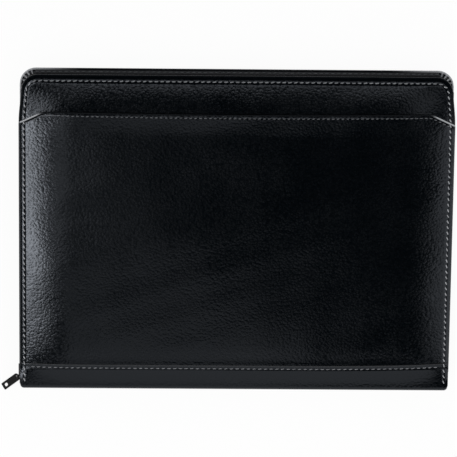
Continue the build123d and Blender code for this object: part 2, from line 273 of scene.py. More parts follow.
def leather_finish(name, colour, roughness, grain_mm, relief_mm, place="Object", shine=0.5):
    """Pebbled leather: domes of one grain width, finer pores on them, uneven gloss, and edges painted grey
    for wear and a painted highlight.

    The cells are bent a little over a few grains, so that they don't look ruled. Relief is the
    distance from a dome's middle plus a share of the pores, and the roughness falls with it.
    """
    tree, shader, finish = new_finish(
        name, colour, roughness, Specular_Tint=cool_sheen, Specular_IOR_Level=shine
    )
    where = add_node(tree, "ShaderNodeTexCoord").outputs[place]
    mapping = add_node(tree, "ShaderNodeMapping", {"Vector": where, "Scale": roller_stretch})
    stretched = mapping.outputs[0]
    bend = add_node(
        tree, "ShaderNodeTexNoise",
        {"Vector": stretched, "Scale": per_metre(bend_grains * grain_mm), "Detail": 2.0},
    )
    bent = add_node(
        tree, "ShaderNodeVectorMath",
        {0: bend.outputs["Color"], "Scale": bend_reach * grain_mm * mm},
        operation="SCALE",
    )
    warped = add_node(tree, "ShaderNodeVectorMath", (stretched, bent.outputs[0]), operation="ADD")
    domes = add_node(
        tree, "ShaderNodeTexVoronoi",
        {"Vector": warped.outputs[0], "Scale": per_metre(grain_mm), "Smoothness": 0.5},
        feature="SMOOTH_F1",
    ).outputs["Distance"]
    pores = add_node(
        tree, "ShaderNodeTexNoise",
        {"Vector": stretched, "Scale": per_metre(pore_grains * grain_mm), "Detail": 2.0},
    ).outputs["Fac"]
    pitted = add_node(tree, "ShaderNodeMath", (pores, pore_share, domes), operation="MULTIPLY_ADD")
    relief = pitted.outputs[0]
    bump = add_node(tree, "ShaderNodeBump", {"Height": relief, "Distance": relief_mm * mm}, invert=True)
    tree.links.new(bump.outputs["Normal"], shader.inputs["Normal"])
    handling = add_node(
        tree, "ShaderNodeTexNoise",
        {"Vector": where, "Scale": per_metre(handling_mm), "Detail": 3.0},
    )
    dome_roughness = roughness + dome_dullness * middle_relief
    gloss = add_node(
        tree, "ShaderNodeMapRange",
        {
            "Value": handling.outputs["Fac"],
            "From Min": 0.3,
            "From Max": 0.7,
            "To Min": dome_roughness - handling_change,
            "To Max": dome_roughness + handling_change,
        },
    )
    falling = (relief, -dome_dullness, gloss.outputs[0])
    dulled = add_node(tree, "ShaderNodeMath", falling, operation="MULTIPLY_ADD")
    tree.links.new(dulled.outputs[0], shader.inputs["Roughness"])
    # Edges painted a lighter grey: partly wear, partly a painted highlight where the lamps catch the
    # turned edge.
    edge = add_node(tree, "ShaderNodeAttribute", attribute_name="wear_and_painted_light").outputs["Fac"]
    patchy = add_node(tree, "ShaderNodeMath", (pores, least_edge_grey), operation="ADD").outputs[0]
    wear_and_highlight = add_node(tree, "ShaderNodeMath", (edge, patchy), operation="MULTIPLY").outputs[0]
    shade = add_node(
        tree, "ShaderNodeMix",
        {"Factor": wear_and_highlight, "A": linear(colour), "B": linear(wear_and_highlight_grey)},
        data_type="RGBA",
    )
    tree.links.new(shade.outputs["Result"], shader.inputs["Base Color"])
    return finish


leather_black = "#020508"
cover_leather = leather_finish("bonded_leather_pebbled", leather_black, 0.18, 1.7, 0.062)
band_leather = leather_finish("bonded_leather_folded", leather_black, 0.18, 1.7, 0.05, place="UV")
rim_leather = leather_finish("turned_leather_edge", leather_black, 0.30, 1.7, 0.05, place="UV", shine=0.14)
pocket_leather = leather_finish("thin_pocket_leather", "#070709", 0.38, 1.6, 0.10)
print("leather grain 1.7 mm wide")

# %% [markdown]
# ### Woven cloth, tape and elastic
# The lining is a plain-weave polyester, the zipper tape a dense twill and the pen loop a ribbed
# elastic. All three are threads crossing at right angles, so two wave textures at right angles
# make each of them, with the thread spacing in millimetres. A real thread is 0.2 to 0.4 mm, which
# is too fine to show in the render, so the spacing is drawn a little coarser.

# %% Woven finishes
wave_units = 20
painted_light_grey = "#8E9094"


def woven_finish(name, colour, light_colour, across_mm, along_mm, relief_mm, sheen=0.15):
    """Cloth: waves across and along, the higher one on top, darker between the threads.

    At scale 1 a wave texture has 20 / (2 pi) waves in a metre.
    """
    tree, shader, finish = new_finish(
        name, colour, 0.85, Specular_IOR_Level=0.1, Sheen_Weight=sheen, Sheen_Roughness=0.5
    )
    where = add_node(tree, "ShaderNodeTexCoord").outputs["UV"]
    waves = []
    for axis, size in (("X", across_mm), ("Y", along_mm)):
        inputs = {"Vector": where, "Scale": per_metre(size) / wave_units * 2 * math.pi}
        wave = add_node(tree, "ShaderNodeTexWave", inputs, bands_direction=axis)
        waves.append(wave.outputs["Fac"])
    thread = add_node(tree, "ShaderNodeMath", waves, operation="MAXIMUM").outputs[0]
    shade = add_node(
        tree, "ShaderNodeMix",
        {"Factor": thread, "A": linear(colour), "B": linear(light_colour)},
        data_type="RGBA",
    )
    bump = add_node(tree, "ShaderNodeBump", {"Height": thread, "Distance": relief_mm * mm})
    # Painted light: on the zipper tape this share paints the flange a lighter grey where lamps would reach
    # it.
    painted_light_share = add_node(tree, "ShaderNodeAttribute", attribute_name="wear_and_painted_light")
    painted_light_mix = add_node(
        tree, "ShaderNodeMix",
        {"Factor": painted_light_share.outputs["Fac"], "A": shade.outputs["Result"], "B": linear(painted_light_grey)},
        data_type="RGBA",
    )
    tree.links.new(painted_light_mix.outputs["Result"], shader.inputs["Base Color"])
    tree.links.new(bump.outputs["Normal"], shader.inputs["Normal"])
    return finish


lining_cloth = woven_finish("woven_polyester_lining", "#0F0F11", "#232327", 0.9, 0.9, 0.10)
tape_cloth = woven_finish("woven_zipper_tape", "#08090B", "#131417", 0.8, 1.6, 0.12, sheen=0.0)
elastic_cloth = woven_finish("ribbed_elastic", "#0D0D0E", "#232325", 2.0, 0.8, 0.25)
binding_cloth = woven_finish("bookbinding_cloth", "#141517", "#2A2B2E", 0.8, 0.8, 0.10)
print("lining threads drawn 0.9 mm apart")

# %% [markdown]
# ### Thread, nylon, lacquered metal, card and paper
# The sewing thread is a twisted grey polyester, matt and bright. On the rows across the case and on the
# hems it is painted darker, as painted shade.
# The zipper coil is extruded nylon with a soft plastic gloss, and the slider, ring and pull are
# zinc castings under black lacquer. Card and paper are matt, with fine fibres. All of these are
# nearly even, so one fine noise is enough to keep them from looking flat.

# %% Speckled finishes
def speckled_finish(name, colour, other_colour, roughness, speck_mm, relief_mm, **sockets):
    """One material with fine noise: the noise mixes two close colours and roughens the surface."""
    tree, shader, finish = new_finish(name, colour, roughness, **sockets)
    where = add_node(tree, "ShaderNodeTexCoord").outputs["Object"]
    specks = add_node(
        tree, "ShaderNodeTexNoise",
        {"Vector": where, "Scale": per_metre(speck_mm), "Detail": 3.0},
    ).outputs["Fac"]
    shade = add_node(
        tree, "ShaderNodeMix",
        {"Factor": specks, "A": linear(colour), "B": linear(other_colour)},
        data_type="RGBA",
    )
    bump = add_node(tree, "ShaderNodeBump", {"Height": specks, "Distance": relief_mm * mm})
    tree.links.new(shade.outputs["Result"], shader.inputs["Base Color"])
    tree.links.new(bump.outputs["Normal"], shader.inputs["Normal"])
    return finish


def thread_finish(name, colour, other_colour, roughness, sheen):
    """Twisted thread: two greys that change from stitch to stitch, with a faint sheen."""
    return speckled_finish(
        name, colour, other_colour, roughness, speck_mm=6.0, relief_mm=0.05, Sheen_Weight=sheen
    )


grey_thread = thread_finish("twisted_polyester_thread", "#77797D", "#C2C4C8", 0.6, 0.2)
# Painted shade: the next two threads are darker greys for rows in shade: across the case, at the pocket's
# mouth and in the inner hem.
painted_shade_thread = thread_finish("polyester_thread_painted_shade", "#4E5054", "#8A8C90", 0.7, 0.2)
deep_shade_thread = thread_finish("polyester_thread_painted_deep_shade", "#3A3C40", "#6A6C70", 0.75, 0.1)
black_thread = thread_finish("black_polyester_thread", "#1A1B1D", "#2C2D30", 0.6, 0.2)
black_nylon = speckled_finish(
    "extruded_nylon", "#0D0E0F", "#141517", 0.32, 2.0, 0.01, Specular_IOR_Level=0.25
)
black_lacquer = speckled_finish(
    "lacquered_zinc", "#060607", "#0A0A0B", 0.35, 1.5, 0.02, Specular_IOR_Level=0.2
)
backing_card = speckled_finish("grey_brown_card", "#8C7B66", "#9F8F7A", 0.9, 1.2, 0.05)
grey_board = speckled_finish("bookbinding_greyboard", "#8A8782", "#9B9892", 0.95, 1.0, 0.05)
paper_edge = speckled_finish("stacked_paper_edge", "#D9D8D2", "#EFEEE9", 0.9, 0.6, 0.04)
print("four threads, nylon, lacquer, card, board and paper edge")

# %% [markdown]
# ### Ruled paper
# The top sheet is uncoated white paper with pale blue rules and one margin rule. An image could
# carry them, but distances to the rules, worked out in the material, stay sharp at any size.

# %% Ruled paper
paper_white = "#F2F1EC"
rule_blue = "#A9BFD6"
margin_rose = "#D9A3A6"


def ruled_paper_finish(rule_mm, rule_width_mm, margin_y):
    """White paper: a rule where x, folded to and fro every rule_mm, is near 0, and one margin rule."""
    tree, shader, finish = new_finish("uncoated_ruled_paper", paper_white, 0.9, Specular_IOR_Level=0.2)
    where = add_node(tree, "ShaderNodeTexCoord").outputs["Object"]
    axes = add_node(tree, "ShaderNodeSeparateXYZ", (where,)).outputs
    half_rule = rule_width_mm / 2 * mm
    spaced = add_node(tree, "ShaderNodeMath", (axes["X"], rule_mm * mm), operation="PINGPONG").outputs[0]
    rule = add_node(tree, "ShaderNodeMath", (spaced, half_rule), operation="LESS_THAN").outputs[0]
    from_margin = (axes["Y"], margin_y * mm, half_rule)
    margin = add_node(tree, "ShaderNodeMath", from_margin, operation="COMPARE").outputs[0]
    ruled = add_node(
        tree, "ShaderNodeMix",
        {"Factor": rule, "A": linear(paper_white), "B": linear(rule_blue)},
        data_type="RGBA",
    )
    printed = add_node(
        tree, "ShaderNodeMix",
        {"Factor": margin, "A": ruled.outputs["Result"], "B": linear(margin_rose)},
        data_type="RGBA",
    )
    tree.links.new(printed.outputs["Result"], shader.inputs["Base Color"])
    return finish


ruled_paper = ruled_paper_finish(rule_mm=3.6, rule_width_mm=0.45, margin_y=84.0)
print("rules 7.2 mm apart")

# %% [markdown]
# ## The shape of the sewn cover
# A board with soft padding is pulled flat at its stitched hem and swells inside the stitch row,
# so the cover has a crown with a soft shoulder all round. Three surfaces lie on top of each
# other: the cover leather, the slip pocket on it and the spine band over the pocket's foot. A
# cloth simulation could find their shapes. Here each is a height as a function of x and y, so
# that stitches can later be set on exactly the same surface.

# %% Height of the cover leather
crown_height = 3.0
shoulder_width = 40.0
wave_lengths = (95.0, 70.0, 52.0, 40.0, 31.0, 24.0)
wave_flatness = 1200.0
wave_seed = 7
hem_slope = 0.36
groove_depth = 0.35
groove_width = 0.9
hem_line_y = fore_y - front_setback - fore_hem


def edge_distance(x, y):
    """Distance to the line that the hem is measured from: the outline, drawn in at the fore-edge."""
    over_x = np.abs(x) - (half_length - corner_radius)
    over_y = y - (hem_line_y - corner_radius)
    in_corner = (over_x > 0) & (over_y > 0)
    to_arc = corner_radius - np.hypot(over_x, over_y)
    to_edge = np.minimum(half_length - np.abs(x), hem_line_y - y)
    return np.where(in_corner, to_arc, to_edge)


def shoulder(distance):
    """Share of the crown: 0 up to the stitch row, then a parabola that ends level."""
    t = np.clip((distance - stitch_inset) / shoulder_width, 0, 1)
    return 1 - (1 - t) ** 2


def waviness(x, y):
    """Slow unevenness of hand-laid leather: six sine waves with seeded headings and starts."""
    draws = np.random.default_rng(wave_seed)
    total = np.zeros(np.broadcast(x, y).shape)
    for length in wave_lengths:
        heading, start = draws.uniform(0, 2 * np.pi, 2)
        along = x * np.cos(heading) + y * np.sin(heading)
        total = total + length / wave_flatness * np.sin(2 * np.pi / length * along + start)
    return total


def thread_groove(distance):
    """Depth of the groove that a row of thread pulls in: a bell curve of the distance to the row."""
    return groove_depth * np.exp(-(distance / groove_width) ** 2)


def leather_height(x, y):
    """Cover leather: the crown and its waves, less a hem that slopes to the edge and the stitch groove."""
    distance = edge_distance(x, y)
    swell = shoulder(half_length - np.abs(x)) * shoulder(hem_line_y - y)
    swell = swell * shoulder(y - spine_y + stitch_inset)
    hem = hem_slope * np.clip(stitch_inset - distance, 0, stitch_inset)
    groove = thread_groove(distance - stitch_inset)
    return cover_top_z + crown_height * swell - hem - groove + waviness(x, y) * swell


print("crown", crown_height, "mm")

# %% [markdown]
# ### Mouth and seam
# The pocket's mouth is a line that sags a little and slants down at both ends, where a hand goes
# in. The band's seam is nearly straight. Both are y as a function of x, so a drawn curve isn't
# needed, and the height of the pocket can ask how far a point lies below the mouth.

# %% Lines of the mouth and the seam
mouth_y = 98.45
mouth_sag = 1.3
slant_run = 19.0
slant_drop = 9.5
slant_softness = 0.12
left_rise = 0.6
left_rise_start = 110.0
left_rise_run = 60.0
right_rise = 2.4
right_rise_start = 60.0
right_rise_run = 110.0


def mouth_line(x):
    """Pocket mouth: a shallow sag in the middle and a slant at each end, joined by a soft corner."""
    t = (np.abs(x) - (half_length - slant_run)) / slant_run
    ramp = 0.5 * (t + np.sqrt(t ** 2 + slant_softness ** 2))
    sag = mouth_sag * np.clip(1 - (x / (half_length - slant_run)) ** 2, 0, 1)
    return mouth_y - sag - slant_drop * ramp


def seam_line(x):
    """Upper edge of the spine band: straight, rising by a parabola towards each end."""
    left = np.clip((-x - left_rise_start) / left_rise_run, 0, 1) ** 2
    right = np.clip((x - right_rise_start) / right_rise_run, 0, 1) ** 2
    return band_seam_y + left_rise * left + right_rise * right


print("mouth of the pocket at y =", mouth_y)

# %% Heights of the pocket and the spine band
row_inset = 2.8
pocket_thickness = 1.1
mouth_lift = 0.9
lift_fade = 14.0
flat_half = 120.0
hem_double = 1.1
hem_fade = 16.0
hem_fade_power = 1.5
hem_end_loss = 0.55
hem_end_run = 30.0
hem_droop = 0.60
band_lip = 0.5
lip_width = 1.8
lip_end_run = 40.0
band_thickness = 1.1
most_climb = 1.2
fold_bend = 3.2
fold_top_z = 28.3
spine_clearance = 0.15
fold_y = spine_y + spine_clearance + fold_bend


def doubled_hem(x, below):
    """Extra height where the mouth is turned under: it fades below the stitch row and at the ends."""
    share = 1 - hem_end_loss * smooth_step((np.abs(x) - flat_half) / hem_end_run)
    return hem_double * share * (1 - np.clip((below - row_inset) / hem_fade, 0, 1)) ** hem_fade_power


def pocket_height(x, y):
    """Slip pocket: on the leather, with a lifted, doubled mouth that droops, and a lip at the band."""
    below = mouth_line(x) - y
    middle = np.clip(1 - (x / half_length) ** 2, 0, 1)
    lift = mouth_lift * middle * np.exp(-np.clip(below, 0, None) / lift_fade)
    droop = hem_droop * np.clip(1 - below / row_inset, 0, 1)
    inward = 1 - smooth_step((np.abs(x) - flat_half) / lip_end_run)
    at_band = band_lip * inward * np.exp(-np.clip(y - seam_line(x), 0, None) / lip_width)
    return leather_height(x, y) + pocket_thickness + lift + doubled_hem(x, below) + at_band - droop


def band_height(x, y):
    """Spine band: an even climb from the fold to the pocket's foot, with a groove at its stitch row."""
    climb = np.clip((y - fold_y) / (band_seam_y - fold_y), 0, most_climb)
    over_pocket = leather_height(x, y) + pocket_thickness + band_thickness
    groove = thread_groove(seam_line(x) - y - row_inset)
    return fold_top_z + (over_pocket - fold_top_z) * climb - groove


print("pocket", round(float(pocket_height(0, 0)), 1), "mm above the table in the middle")

# %% [markdown]
# ## Front cover
# The cover leather is a grid of columns along the spine and rows across it. Each column ends on
# the rounded outline, and columns and rows are closer together near the edge, where the hem,
# the groove and the shoulder need them. An even grid would be simpler, but it would need many
# times as many points to show the same hem.

# %% Grids with round corners
near_edge = np.array([0.0, 0.5, 1.0, 1.6, 2.2, 2.8, 3.4, 4.0, 4.8, 5.8, 7.0, 8.5, 10.5, 13.0])
least_gap = 0.12
narrowing_run = 30.0


def side_columns(spacing, inset, corner_steps=15):
    """Columns from the left to the right edge: by angle round the corners, close near the edges."""
    radius = corner_radius - inset
    by_angle = radius * (1 - np.sin(np.radians(np.linspace(0, 90, corner_steps))))
    steps = np.unique(np.round(np.concatenate([by_angle, near_edge]), 3))
    steps = steps[np.concatenate([[True], np.diff(steps) > least_gap])]
    middle_end = half_length - inset - steps[-1]
    middle = np.linspace(-middle_end, middle_end, int(2 * middle_end / spacing))[1:-1]
    right = half_length - inset - steps
    return np.concatenate([-right, middle, right[::-1]])


def fore_line(x, inset):
    """Fore-edge drawn in by inset: straight, with a quarter circle at each corner."""
    radius = corner_radius - inset
    over = np.clip(np.abs(x) - (half_length - corner_radius), 0, radius)
    return fore_y - corner_radius + np.sqrt(np.maximum(radius ** 2 - over ** 2, 0))


def sheet_grid(x, near, far, steps_from_far, spacing):
    """Grid of x and y: rows at the given steps from the far line, then even ones to the near line."""
    depth = np.max(far - near)
    rest = np.linspace(steps_from_far[-1], depth, int((depth - steps_from_far[-1]) / spacing) + 1)[1:]
    share = 1 - np.concatenate([steps_from_far, rest])[::-1] / depth
    share[0] = 0
    y = near + share[:, None] * (far - near)[None, :]
    return np.broadcast_to(x, y.shape), y


def narrowed(x, y):
    """x of the front leather: above the pocket's mouth its sides draw in towards the corners."""
    above = smooth_step((y - (mouth_y - slant_drop)) / narrowing_run)
    return x * (1 - side_setback / half_length * above)


# %% Front cover leather
spine_end_roll = 0.2
cover_rolls = (spine_end_roll, edge_roll, edge_roll, edge_roll)
# The front's edges are painted faintly lighter grey, partly wear and partly a painted highlight.
front_wear_and_highlight = (0, 0.004, 0.02, 0.02)
columns = side_columns(spacing=2.2, inset=edge_roll)
rows_at_fore = np.concatenate([near_edge, np.arange(15.0, 48.0, 2.0)])
fore_end = fore_line(columns, edge_roll) - front_setback
x, y = sheet_grid(columns, cover_start_y, fore_end, rows_at_fore, spacing=6.0)
drawn_x = narrowed(x, y)
outside = grid_points(drawn_x, y, leather_height(x, y))
inside = grid_points(drawn_x, y, cover_inner_front_z)
points, faces, flat = closed_sheet(outside, inside, cover_rolls, wear_and_highlight=front_wear_and_highlight)
front_leather = add_piece("front_leather", points, faces, cover_leather, flat, rim_finish=rim_leather)
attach(front_leather, "front_cover")
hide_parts("front_cover_leather", "front_padding")

# %% [markdown]
# ### Board
# A sheet of grey board inside the leather keeps the cover flat. It shows only when the case is
# taken apart, so a coarse grid of the same kind, drawn in all round, is enough.

# %% Board inside the front cover
board_inset = 5.0
board_low_z = 23.2
board_top_z = 24.8
thin_rolls = (0.1, 0.1, 0.1, 0.1)
board_columns = side_columns(spacing=40.0, inset=board_inset)
board_edge = fore_line(board_columns, board_inset) - front_setback
x, y = sheet_grid(board_columns, cover_start_y, board_edge, near_edge, spacing=40.0)
board_top = grid_points(x, y, board_top_z)
points, faces, flat = closed_sheet(board_top, grid_points(x, y, board_low_z), thin_rolls)
front_board = add_piece("front_cover_board", points, faces, grey_board, flat)
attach(front_board, "front_cover")
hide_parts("front_board")

# %% [markdown]
# ### Slip pocket
# A second sheet of the same leather is sewn on the cover along its foot and sides. Its mouth is
# turned under, so the sheet is thicker there, and the turned edge on the slants is painted light
# grey, partly wear and partly a painted highlight where the side lamps catch it.
# Both sides of the sheet come from the pocket's height.

# %% Slip pocket on the front cover
pocket_foot_y = -112.0
pocket_sheet = 0.9
mouth_roll = 0.9
pocket_rolls = (spine_end_roll, mouth_roll, edge_roll, edge_roll)
pocket_wear_and_highlight = (0, 1.0, 0.1, 0.1)
slant_fade = 6.0
middle_wear_and_highlight = 0.012
pocket_columns = side_columns(spacing=2.0, inset=edge_roll)
mouth_end = mouth_line(pocket_columns) - mouth_roll
x, y = sheet_grid(pocket_columns, pocket_foot_y, mouth_end, near_edge, spacing=2.4)
top_z = pocket_height(x, y)
under_z = top_z - pocket_sheet - doubled_hem(x, mouth_line(x) - y)
outside = grid_points(x, y, top_z)
points, faces, flat = closed_sheet(outside, grid_points(x, y, under_z), pocket_rolls, wear_and_highlight=pocket_wear_and_highlight)
# The mouth's edge is painted grey mostly on the slants: partly wear, partly a painted highlight.
on_slant = smooth_step((np.abs(points[:, 0]) - (half_length - slant_run)) / slant_fade)
flat[:, 2] *= middle_wear_and_highlight + (1 - middle_wear_and_highlight) * on_slant
front_pocket = add_piece("front_slip_pocket", points, faces, cover_leather, flat, rim_finish=rim_leather)
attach(front_pocket, "front_cover")
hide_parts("front_pocket")

# %% [markdown]
# ## Spine band
# One strip of leather runs from its seam on the front cover over the spine to its seam on the
# back. It is split along the middle of the spine, and each half runs round its own fold. Both
# halves are fixed where they are made and follow neither cover.

# %% Shape of the spine band
spine_bulge = 0.35
spine_corner = 3.0
band_roll = 0.6
band_end_roll = 0.2
band_end_inset = 0.6
band_leather_thickness = 1.0
even_share = 0.62
strip_width = 18.0
end_fade = 8.0
band_columns = side_columns(spacing=3.0, inset=band_end_inset)


def spine_face(z):
    """Outer face of the spine: bulged by a parabola that is highest at half height."""
    return spine_y + spine_clearance - spine_bulge * (1 - ((z - middle_z) / middle_z) ** 2)


def end_draw(x):
    """How far the spine draws in near its two ends, which are quarter circles in plan."""
    over = np.clip(np.abs(x) - (half_length - band_end_inset - spine_corner), 0, spine_corner)
    return spine_corner - np.sqrt(spine_corner ** 2 - over ** 2)


def moved_square(first, second, distance):
    """Path in a plane, moved sideways: its direction, turned by a quarter, times the distance."""
    turn_first = np.gradient(first, axis=0)
    turn_second = np.gradient(second, axis=0)
    length = np.hypot(turn_first, turn_second)
    return first + distance * (turn_second / length), second - distance * (turn_first / length)


def band_grids(path_y, path_z):
    """Outer and inner grids of a strip: the inner one is moved in square to the path."""
    inner_y, inner_z = moved_square(path_y, path_z, band_leather_thickness)
    return grid_points(band_columns, path_y, path_z), grid_points(band_columns, inner_y, inner_z)


def flat_run(seam_y):
    """Rows of a strip on a cover, from the fold to the seam, closer together near the seam."""
    share = np.concatenate([np.linspace(0, even_share, 10), 1 - near_edge[9::-1] / strip_width])
    return fold_y + share[:, None] * (seam_y - band_roll - fold_y)[None, :]


draw_in = end_draw(band_columns)[None, :]
print("band of", len(band_columns), "columns")

# %% Spine band, front half
band_rolls = (0.0, band_roll, band_end_roll, band_end_roll)
# The band's seam edge is painted lighter grey, partly wear and partly a painted highlight.
band_wear_and_highlight = (0, 0.085, 0.04, 0.04)
fold_angles = np.radians(np.linspace(180, 90, 13))
spine_rise = np.linspace(middle_z, fold_top_z - fold_bend, 8)
front_run = flat_run(seam_line(band_columns))
spine_part = spine_face(spine_rise)[:-1, None] + draw_in
fold_part = (fold_y + fold_bend * np.cos(fold_angles))[:-1, None] + draw_in
fade = np.clip(1 - (front_run - fold_y) / end_fade, 0, 1)
path_y = np.concatenate([spine_part, fold_part, front_run + draw_in * fade])
fold_z = fold_top_z - fold_bend + fold_bend * np.sin(fold_angles)
low_z = np.concatenate([spine_rise[:-1], fold_z[:-1]])
path_z = np.concatenate([low_z[:, None] + 0 * draw_in, band_height(band_columns[None, :], front_run)])
points, faces, flat = closed_sheet(*band_grids(path_y, path_z), band_rolls, wear_and_highlight=band_wear_and_highlight)
front_band = add_piece("spine_band_front_half", points, faces, band_leather, flat, rim_finish=rim_leather)
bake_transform(front_band)
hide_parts("front_spine_band", "spine_leather")

# %% Spine band, back half
back_band_rolls = (0.5, 0.0, band_end_roll, band_end_roll)
back_angles = np.radians(np.linspace(270, 180, 13))
spine_low = np.linspace(fold_bend, middle_z, 8)
back_run = flat_run(np.full(len(band_columns), band_seam_y))[::-1]
fade = np.clip(1 - (back_run - fold_y) / end_fade, 0, 1)
fold_part = (fold_y + fold_bend * np.cos(back_angles))[1:, None] + draw_in
spine_part = spine_face(spine_low)[1:, None] + draw_in
path_y = np.concatenate([back_run + draw_in * fade, fold_part, spine_part])
high_z = np.concatenate([fold_bend + fold_bend * np.sin(back_angles)[1:], spine_low[1:]])
back_groove = thread_groove(band_seam_y - back_run - row_inset)
path_z = np.concatenate([back_groove, high_z[:, None] + 0 * draw_in])
points, faces, flat = closed_sheet(*band_grids(path_y, path_z), back_band_rolls)
back_band = add_piece("spine_band_back_half", points, faces, band_leather, flat, rim_finish=rim_leather)
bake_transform(back_band)
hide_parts("back_spine_band")

# %% [markdown]
# ## Back cover
# The back is the same leather over a plain board, so it is flat and lies on the table. Its hem
# turns over the board's edge and shows inside the case. At the two round corners the hem has more
# leather than room, so the maker gathers it into small pleats that point at the corner's middle.
# They could be modelled one by one, but a wave of the angle gives them all at once. Near the
# spine the leather passes under the band.

# %% Pleats of the hem
pleat_count = 5
pleat_height = 0.3
pleat_start = 6.0
pleat_run = 2.5


def hem_pleats(x, y):
    """Ridges round each corner: waves of the angle, fading at the corner's ends and to its middle."""
    over_x = np.abs(x) - (half_length - corner_radius)
    over_y = y - (fore_y - corner_radius)
    inside = (over_x > 0) & (over_y > 0)
    angle = np.arctan2(np.where(inside, over_y, 0), np.where(inside, over_x, 1))
    reach = smooth_step((np.hypot(over_x, over_y) - pleat_start) / pleat_run)
    wave = np.cos(4 * pleat_count * angle) * np.sqrt(np.abs(np.sin(2 * angle)))
    return np.where(inside, pleat_height * wave * reach, 0)


# %% Back cover leather
hem_row_inset = 2.6
under_band_room = 1.0
under_band_start = 7.0
under_band_run = 6.0
middle_hem_z = 2.5
corner_wear_and_highlight = 0.8
grey_start_x = 120.0
grey_run_x = 45.0
grey_start_y = 60.0
grey_run_y = 60.0
full_wear_and_highlight = (0, 1.0, 1.0, 1.0)
columns = side_columns(spacing=3.0, inset=edge_roll, corner_steps=40)
back_steps = np.concatenate([np.arange(0.0, 13.0, 0.5), np.arange(13.0, 48.0, 2.5)])
x, y = sheet_grid(columns, cover_start_y, fore_line(columns, edge_roll), back_steps, spacing=4.0)
distance = edge_distance(x, y - front_setback - fore_hem)
hem_z = cover_inner_back_z - thread_groove(distance - hem_row_inset) + hem_pleats(x, y)
under_band = under_band_room * smooth_step((band_seam_y + under_band_start - y) / under_band_run)
under_z = under_band + thread_groove(distance - stitch_inset)
points, faces, flat = closed_sheet(
    grid_points(x, y, hem_z), grid_points(x, y, under_z), cover_rolls, wear_and_highlight=full_wear_and_highlight
)
# Painted highlight: the crests of the corner pleats are painted light grey as glints, and the edges near
# the fore corners lighter grey, partly wear and partly a painted highlight.
pleat_share = np.clip(hem_pleats(points[:, 0], points[:, 1]) / pleat_height, 0, 1)
crest_highlight = pleat_share * (points[:, 2] > middle_hem_z)
near_fore = smooth_step((points[:, 1] - grey_start_y) / grey_run_y)
near_side = smooth_step((np.abs(points[:, 0]) - grey_start_x) / grey_run_x)
flat[:, 2] = np.maximum(crest_highlight, flat[:, 2] * (corner_wear_and_highlight * near_fore * near_side))
back_leather = add_piece("back_leather", points, faces, cover_leather, flat, rim_finish=rim_leather)
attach(back_leather, "back_cover")
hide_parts("back_cover_leather")

# %% [markdown]
# ## Lining
# Inside, woven cloth covers both boards and runs on round the folds and over the spine. The flat
# parts ride on their covers, and the two strips round the folds are fixed in place, as the band is.

# %% Flat linings
lining_inset = 8.4
lining_start_y = -118.0
lining_rolls = (0.1, 0.2, 0.2, 0.2)
lining_columns = side_columns(spacing=6.0, inset=lining_inset)
lining_rows = np.array([0.0, 1.0, 2.5, 5.0, 9.0])


def add_lining(name, node, body, low_z, high_z):
    """Flat lining of one cover, inside the zipper: the cover's grid, drawn in, at two heights."""
    far = fore_line(lining_columns, lining_inset)
    x, y = sheet_grid(lining_columns, lining_start_y, far, lining_rows, spacing=8.0)
    points, faces, flat = closed_sheet(grid_points(x, y, high_z), grid_points(x, y, low_z), lining_rolls)
    piece = add_piece(name, points, faces, lining_cloth, flat)
    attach(piece, body)
    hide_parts(node)
    return piece


add_lining("back_lining_cloth", "back_lining", "back_cover", low_z=3.1, high_z=3.6)
add_lining("front_lining_cloth", "front_lining", "front_cover", low_z=22.4, high_z=22.9)

# %% Linings round the folds
inner_bend = 3.0
inner_face_y = -124.05
inner_floor_z = 3.85
floor_end_y = -111.0
lining_thickness = 0.4
spine_half_wide = 170.0
tape_room = 4.8
tape_room_run = 1.5
inner_columns = np.linspace(-1, 1, 60)
floor_run = np.linspace(inner_face_y + inner_bend, floor_end_y, 8)
corner_turn = np.radians(np.linspace(180, 270, 9))
wall_rise = np.linspace(middle_z, inner_floor_z + inner_bend, 6)


def add_fold_lining(name, mirrored):
    """Strip from the middle of the spine down round the inner corner and out over a cover's lining.

    It is as long as the spine on the spine itself, and draws in to clear the zipper tape on the cover.
    """
    turned_y = inner_face_y + inner_bend + inner_bend * np.cos(corner_turn)
    turned_z = inner_floor_z + inner_bend + inner_bend * np.sin(corner_turn)
    path_y = np.concatenate([np.full(len(wall_rise) - 1, inner_face_y), turned_y, floor_run[1:]])
    path_z = np.concatenate([wall_rise[:-1], turned_z, np.full(len(floor_run) - 1, inner_floor_z)])
    half_wide = spine_half_wide - tape_room * smooth_step((path_y - inner_face_y) / tape_room_run)
    if mirrored:
        path_y = path_y[::-1]
        half_wide = half_wide[::-1]
        path_z = 2 * middle_z - path_z[::-1]
    inner_y, inner_z = moved_square(path_y, path_z, lining_thickness)
    x = half_wide[:, None] * inner_columns
    outer = grid_points(x, path_y[:, None], path_z[:, None])
    inner = grid_points(x, inner_y[:, None], inner_z[:, None])
    points, faces, flat = closed_sheet(outer, inner, thin_rolls)
    piece = add_piece(name, points, faces, lining_cloth, flat)
    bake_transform(piece)
    return piece


low_lining = add_fold_lining(
    "spine_lining_back_half", mirrored=False
)
add_fold_lining("spine_lining_front_half", mirrored=True)
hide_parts("spine_lining")

# %% [markdown]
# ## Zipper tape
# The zipper runs along the left side, round both corners of the fore-edge and down the right
# side. Its tape is a profile carried along that path: a flange sewn on the hem, a soft bend and a
# wall up to the coil. A curve with a bevel could carry it too, but at the corners the spare tape
# gathers into small pleats, and those are easier to add to arrays of points.

